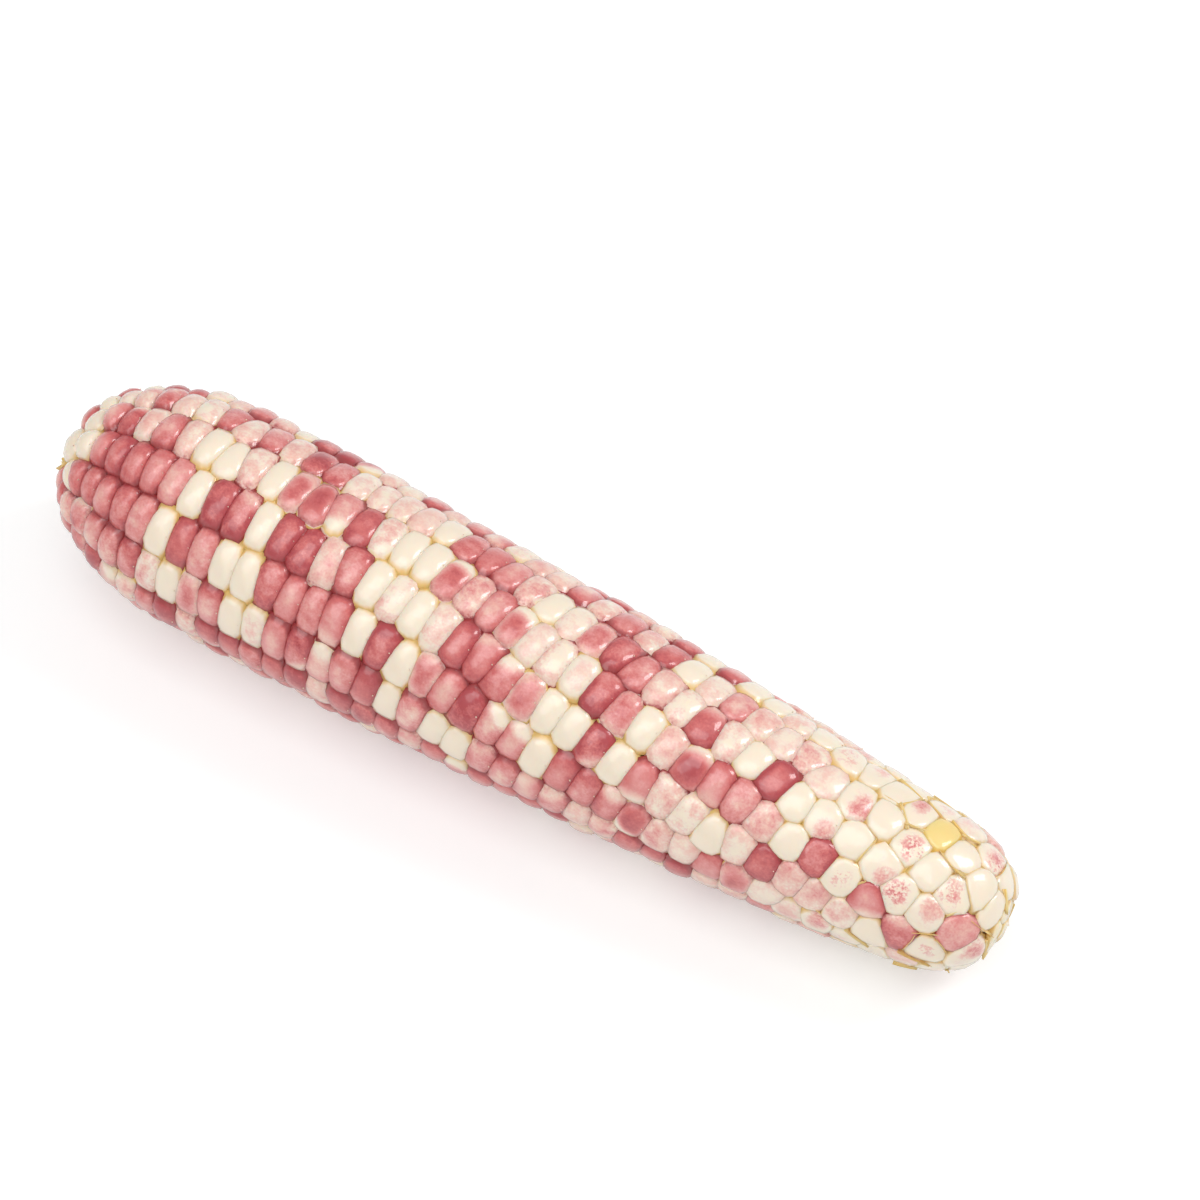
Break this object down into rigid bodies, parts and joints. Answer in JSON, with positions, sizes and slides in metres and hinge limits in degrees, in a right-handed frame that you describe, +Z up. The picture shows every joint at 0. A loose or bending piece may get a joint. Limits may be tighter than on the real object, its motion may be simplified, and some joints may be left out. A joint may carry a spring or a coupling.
{
  "type": "corn cob",
  "caption": "Husked ear of two-colour waxy corn lying on its side: a tapering cob carrying lengthwise rows of plump kernels that wind a little towards the blunt tip.",
  "frame": {"origin": "middle of the footprint, on the surface that the ear lies on", "axes": "+X along the ear from its butt to its tip, +Z up from the surface; the axis of the ear slopes 1.8 degrees down towards the tip"},
  "size_m": [0.1972, 0.0453, 0.0459],
  "materials": {
    "kernel": "glossy, waxy and slightly translucent skin, in pink-red, mottled and cream kernels",
    "cob": "matte, fibrous and pithy, straw yellow"
  },
  "bodies": {
    "root": {"cob_core": "cob", "kernel_row_01": "kernel", "kernel_row_02": "kernel", "kernel_row_03": "kernel", "kernel_row_04": "kernel", "kernel_row_05": "kernel", "kernel_row_06": "kernel", "kernel_row_07": "kernel", "kernel_row_08": "kernel", "kernel_row_09": "kernel", "kernel_row_10": "kernel", "kernel_row_11": "kernel", "kernel_row_12": "kernel", "kernel_row_13": "kernel", "kernel_row_14": "kernel"}
  },
  "joints": []
}
